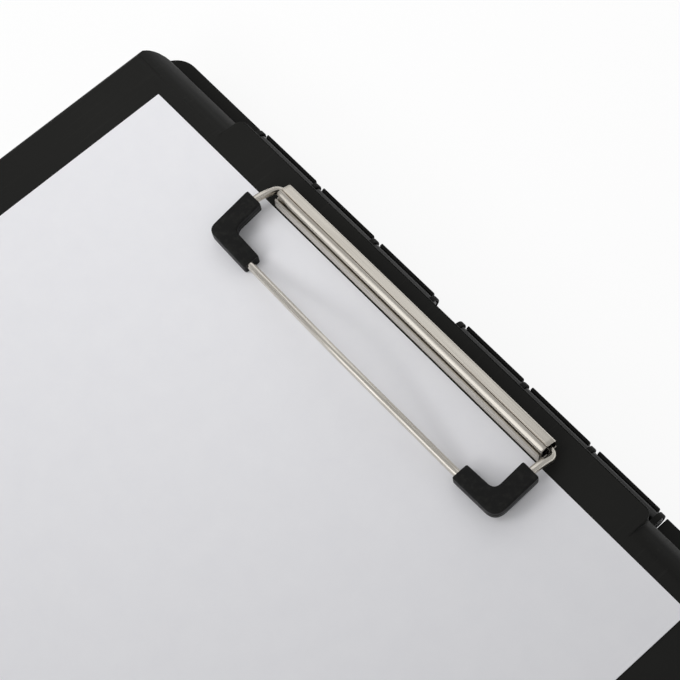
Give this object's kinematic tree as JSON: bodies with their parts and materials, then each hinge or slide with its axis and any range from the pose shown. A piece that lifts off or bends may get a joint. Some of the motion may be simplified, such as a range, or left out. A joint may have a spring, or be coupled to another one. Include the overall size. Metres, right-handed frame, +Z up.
{
  "type": "storage clipboard box",
  "caption": "Slim plastic storage case whose hinged lid is a writing surface with a sprung wire-bail paper clip and a sliding front latch.",
  "frame": {"origin": "middle of the case's flat underside, centred on the whole length from the front wall to the back of the hinge barrels", "axes": "+X across the case, +Y towards the hinge and the clip, +Z up out of the writing surface; lid closed, bail down, latch open"},
  "size_m": [0.243, 0.33, 0.0365],
  "materials": {
    "case_plastic": "fine spark-eroded mould texture, satin black",
    "rod_plastic": "smooth moulded black",
    "grip_plastic": "moulded black, soft sheen",
    "nickel_plate": "bright nickel plate over rolled sheet steel",
    "nickel_wire": "bright nickel plate over drawn steel wire",
    "spring_steel": "plain tumbled steel",
    "paper": "uncoated white office paper"
  },
  "bodies": {
    "base": {"base_tray": "case_plastic"},
    "lid": {"lid": "case_plastic", "left_hinge_rod": "rod_plastic", "right_hinge_rod": "rod_plastic", "clip_plate": "nickel_plate", "clip_tube": "nickel_plate", "clip_leaf_spring": "spring_steel", "clip_rivets": "spring_steel", "rivet_washers": "spring_steel", "paper_sheets": "paper"},
    "bail": {"bail_wire": "nickel_wire", "left_grip": "grip_plastic", "right_grip": "grip_plastic"},
    "latch": {"latch_slide": "grip_plastic", "latch_retainer": "rod_plastic"}
  },
  "joints": [
    {"name": "lid_hinge", "type": "hinge", "parent": "base", "child": "lid", "pos_m": [0, 0.162, 0.01315], "axis": [-1, 0, 0], "range_deg": [0, 150]},
    {"name": "bail_hinge", "type": "hinge", "parent": "lid", "child": "bail", "pos_m": [0, 0.15155, 0.02871], "axis": [-1, 0, 0], "range_deg": [0, 105]},
    {"name": "latch_travel", "type": "slide", "parent": "lid", "child": "latch", "axis": [1, 0, 0], "range_m": [0, 0.005]}
  ]
}
